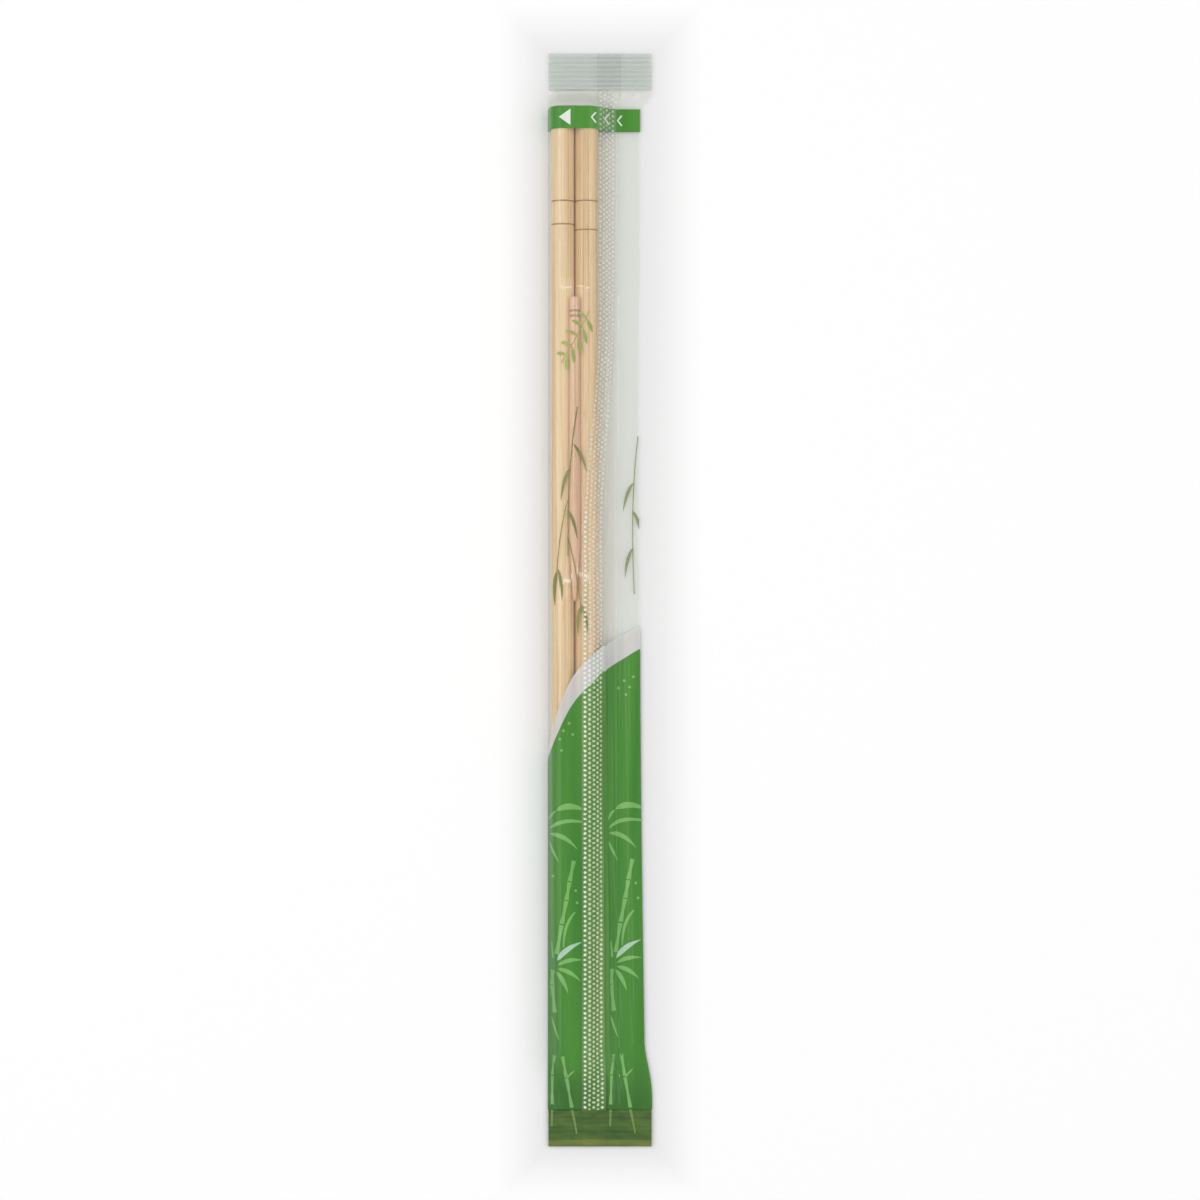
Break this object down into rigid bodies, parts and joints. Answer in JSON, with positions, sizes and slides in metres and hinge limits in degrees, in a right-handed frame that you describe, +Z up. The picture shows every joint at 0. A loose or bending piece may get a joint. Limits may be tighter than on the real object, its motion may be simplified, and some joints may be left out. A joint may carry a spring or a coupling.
{
  "type": "wrapped chopsticks",
  "caption": "Round bamboo chopsticks and a toothpick, sealed together in a clear printed film sleeve with a fin seal along it and ribbed end seals.",
  "frame": {"origin": "centre of the sleeve's outline, on the surface it lies on", "axes": "+Y along the sleeve towards the chopsticks' heads and the tear band, +X across it towards the flat side of the film, +Z up, out of the printed face with the fin seal"},
  "size_m": [0.0224, 0.2354, 0.0063],
  "materials": {
    "clear_film": "clear glossy plastic film, thin enough to see the sticks through it",
    "bamboo": "smooth unvarnished bamboo with fine streaks along it",
    "toothpick_wood": "smooth turned wood"
  },
  "bodies": {
    "root": {"film_sleeve": "clear_film", "chopstick_left": "bamboo", "chopstick_right": "bamboo", "toothpick": "toothpick_wood"}
  },
  "joints": []
}
